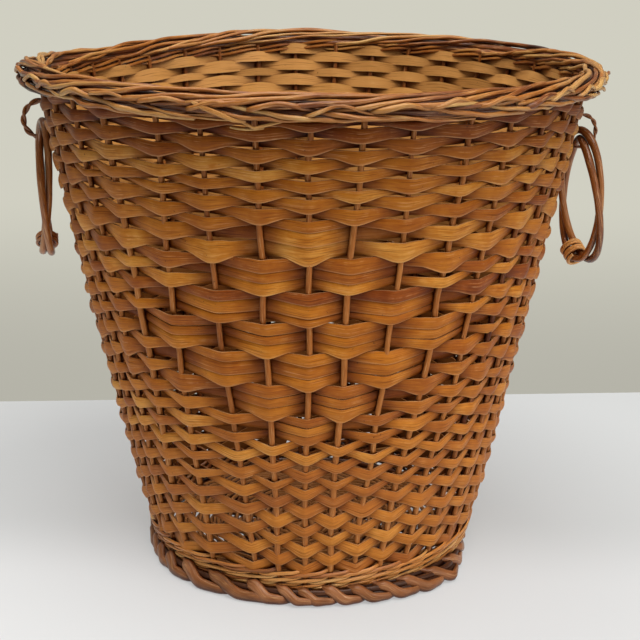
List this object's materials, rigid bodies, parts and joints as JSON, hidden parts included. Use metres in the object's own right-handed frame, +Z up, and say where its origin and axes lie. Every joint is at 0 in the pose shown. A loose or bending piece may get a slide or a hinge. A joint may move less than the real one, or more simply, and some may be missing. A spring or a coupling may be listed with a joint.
{
  "type": "tapered wicker basket",
  "caption": "Open round wicker basket that tapers to its foot, with a plaited rim, a woven diamond on its front and a hanging ring handle at each side.",
  "frame": {"origin": "on the basket's own axis, at the surface that it stands on", "axes": "+Z up out of the open mouth, -Y out of the front that carries the woven diamond, +X to the side of the right handle"},
  "size_m": [0.3357, 0.3295, 0.29],
  "materials": {
    "stake_willow": "round willow rod, dark varnish",
    "split_willow": "split willow, caramel varnish, satin",
    "wale_willow": "thin round willow rod, caramel varnish",
    "border_willow": "round willow rod, reddish varnish, satin",
    "base_willow": "willow rod, thin varnish",
    "handle_willow": "twisted willow rod, glossy varnish",
    "binding_cane": "thin twisted cane, dark varnish"
  },
  "bodies": {
    "basket": {"base_sticks": "base_willow", "base_weave": "base_willow", "foot_border": "border_willow", "lower_wale": "wale_willow", "lower_weaver_1": "split_willow", "lower_weaver_2": "split_willow", "pattern_weaver_1": "split_willow", "pattern_weaver_2": "split_willow", "pattern_weaver_3": "split_willow", "pattern_weaver_4": "split_willow", "pattern_weaver_5": "split_willow", "pattern_weaver_6": "split_willow", "pattern_weaver_7": "split_willow", "upper_weaver_1": "split_willow", "upper_weaver_2": "split_willow", "upper_wale": "wale_willow", "rim_border": "border_willow", "stake_01": "stake_willow", "stake_02": "stake_willow", "stake_03": "stake_willow", "stake_04": "stake_willow", "stake_05": "stake_willow", "stake_06": "stake_willow", "stake_07": "stake_willow", "stake_08": "stake_willow", "stake_09": "stake_willow", "stake_10": "stake_willow", "stake_11": "stake_willow", "stake_12": "stake_willow", "stake_13": "stake_willow", "stake_14": "stake_willow", "stake_15": "stake_willow", "stake_16": "stake_willow", "stake_17": "stake_willow", "stake_18": "stake_willow", "stake_19": "stake_willow", "stake_20": "stake_willow", "stake_21": "stake_willow", "stake_22": "stake_willow", "stake_23": "stake_willow", "stake_24": "stake_willow", "stake_25": "stake_willow", "stake_26": "stake_willow", "stake_27": "stake_willow", "stake_28": "stake_willow", "stake_29": "stake_willow", "stake_30": "stake_willow", "stake_31": "stake_willow", "stake_32": "stake_willow", "stake_33": "stake_willow", "stake_34": "stake_willow", "stake_35": "stake_willow", "stake_36": "stake_willow", "stake_37": "stake_willow", "left_eye_loop": "binding_cane", "right_eye_loop": "binding_cane"},
    "left_ring": {"left_handle": "handle_willow", "left_handle_binding": "binding_cane"},
    "right_ring": {"right_handle": "handle_willow", "right_handle_binding": "binding_cane"}
  },
  "joints": [
    {"name": "left_ring_swing", "type": "hinge", "parent": "basket", "child": "left_ring", "pos_m": [-0.15446, 0, 0.248], "axis": [-0.1874, 0.9823, 0], "range_deg": [0, 140]},
    {"name": "right_ring_swing", "type": "hinge", "parent": "basket", "child": "right_ring", "pos_m": [0.15446, 0, 0.248], "axis": [0.3746, -0.9272, 0], "range_deg": [0, 110]}
  ]
}
